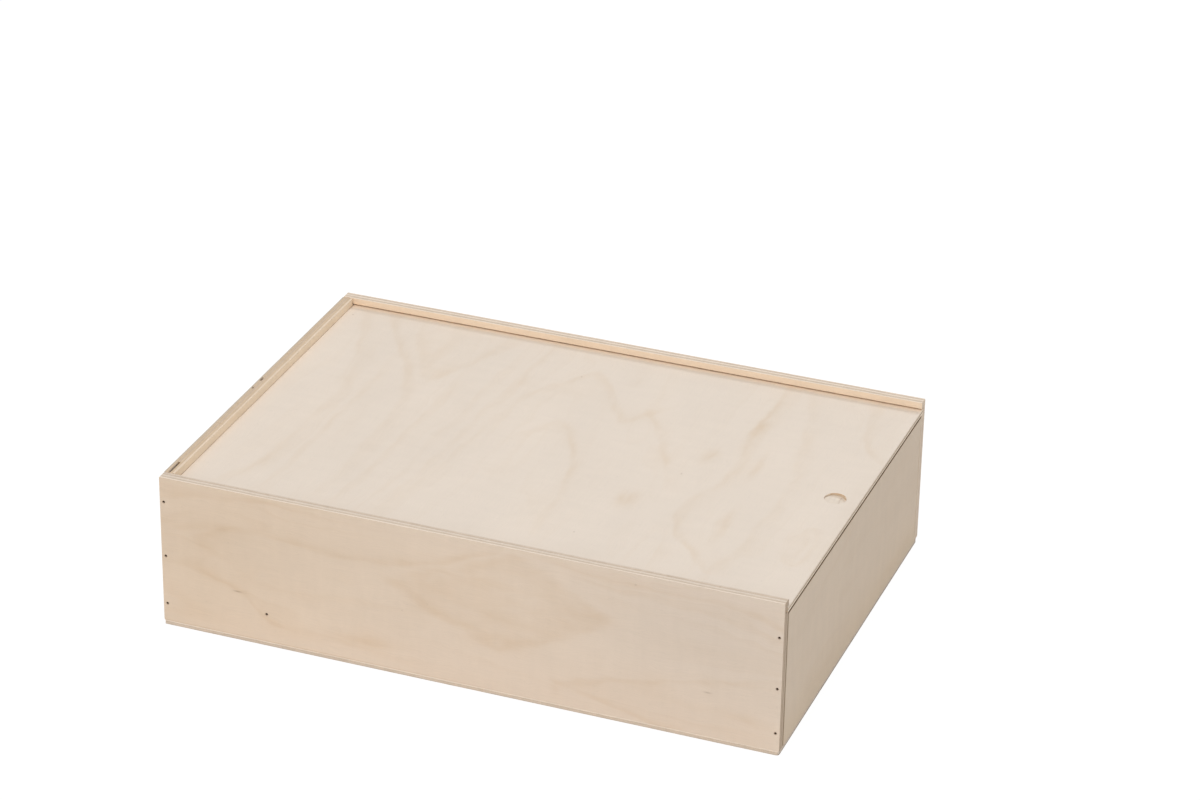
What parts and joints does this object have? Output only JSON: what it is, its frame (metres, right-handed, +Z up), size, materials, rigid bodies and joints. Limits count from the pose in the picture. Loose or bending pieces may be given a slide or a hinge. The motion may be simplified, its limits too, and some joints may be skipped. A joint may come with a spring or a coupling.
{
  "type": "wooden wine box",
  "caption": "Plywood wine box with a sliding lid, a notched comb for the bottle necks and long dividers that form lanes for bottles lying flat.",
  "frame": {"origin": "middle of the underside, at the level of the surface it stands on", "axes": "+X along the box to the open end, where the lid slides out; +Y across the box to the back wall; +Z up"},
  "size_m": [0.38, 0.265, 0.098],
  "materials": {
    "lid_birch": "bare sanded birch plywood, pale, with soft figure",
    "wall_birch": "bare birch plywood, saw-cut edges with visible plies",
    "inner_birch": "bare birch plywood, saw-cut edges with visible plies",
    "nail_steel": "dark bare steel brads, punched below the surface"
  },
  "bodies": {
    "box": {"bottom_panel": "wall_birch", "front_wall": "wall_birch", "back_wall": "wall_birch", "closed_end_wall": "wall_birch", "open_end_wall": "wall_birch", "neck_comb": "inner_birch", "front_divider": "inner_birch", "back_divider": "inner_birch", "nails_front_closed": "nail_steel", "nails_front_open": "nail_steel", "nails_back_closed": "nail_steel", "nails_back_open": "nail_steel", "comb_nail_front": "nail_steel", "comb_nail_back": "nail_steel", "bottom_nails_front": "nail_steel", "bottom_nails_back": "nail_steel", "bottom_nails_closed": "nail_steel", "bottom_nails_open": "nail_steel"},
    "lid": {"lid": "lid_birch"}
  },
  "joints": [
    {"name": "lid_slide", "type": "slide", "parent": "box", "child": "lid", "axis": [1, 0, 0], "range_m": [0, 0.373]}
  ]
}
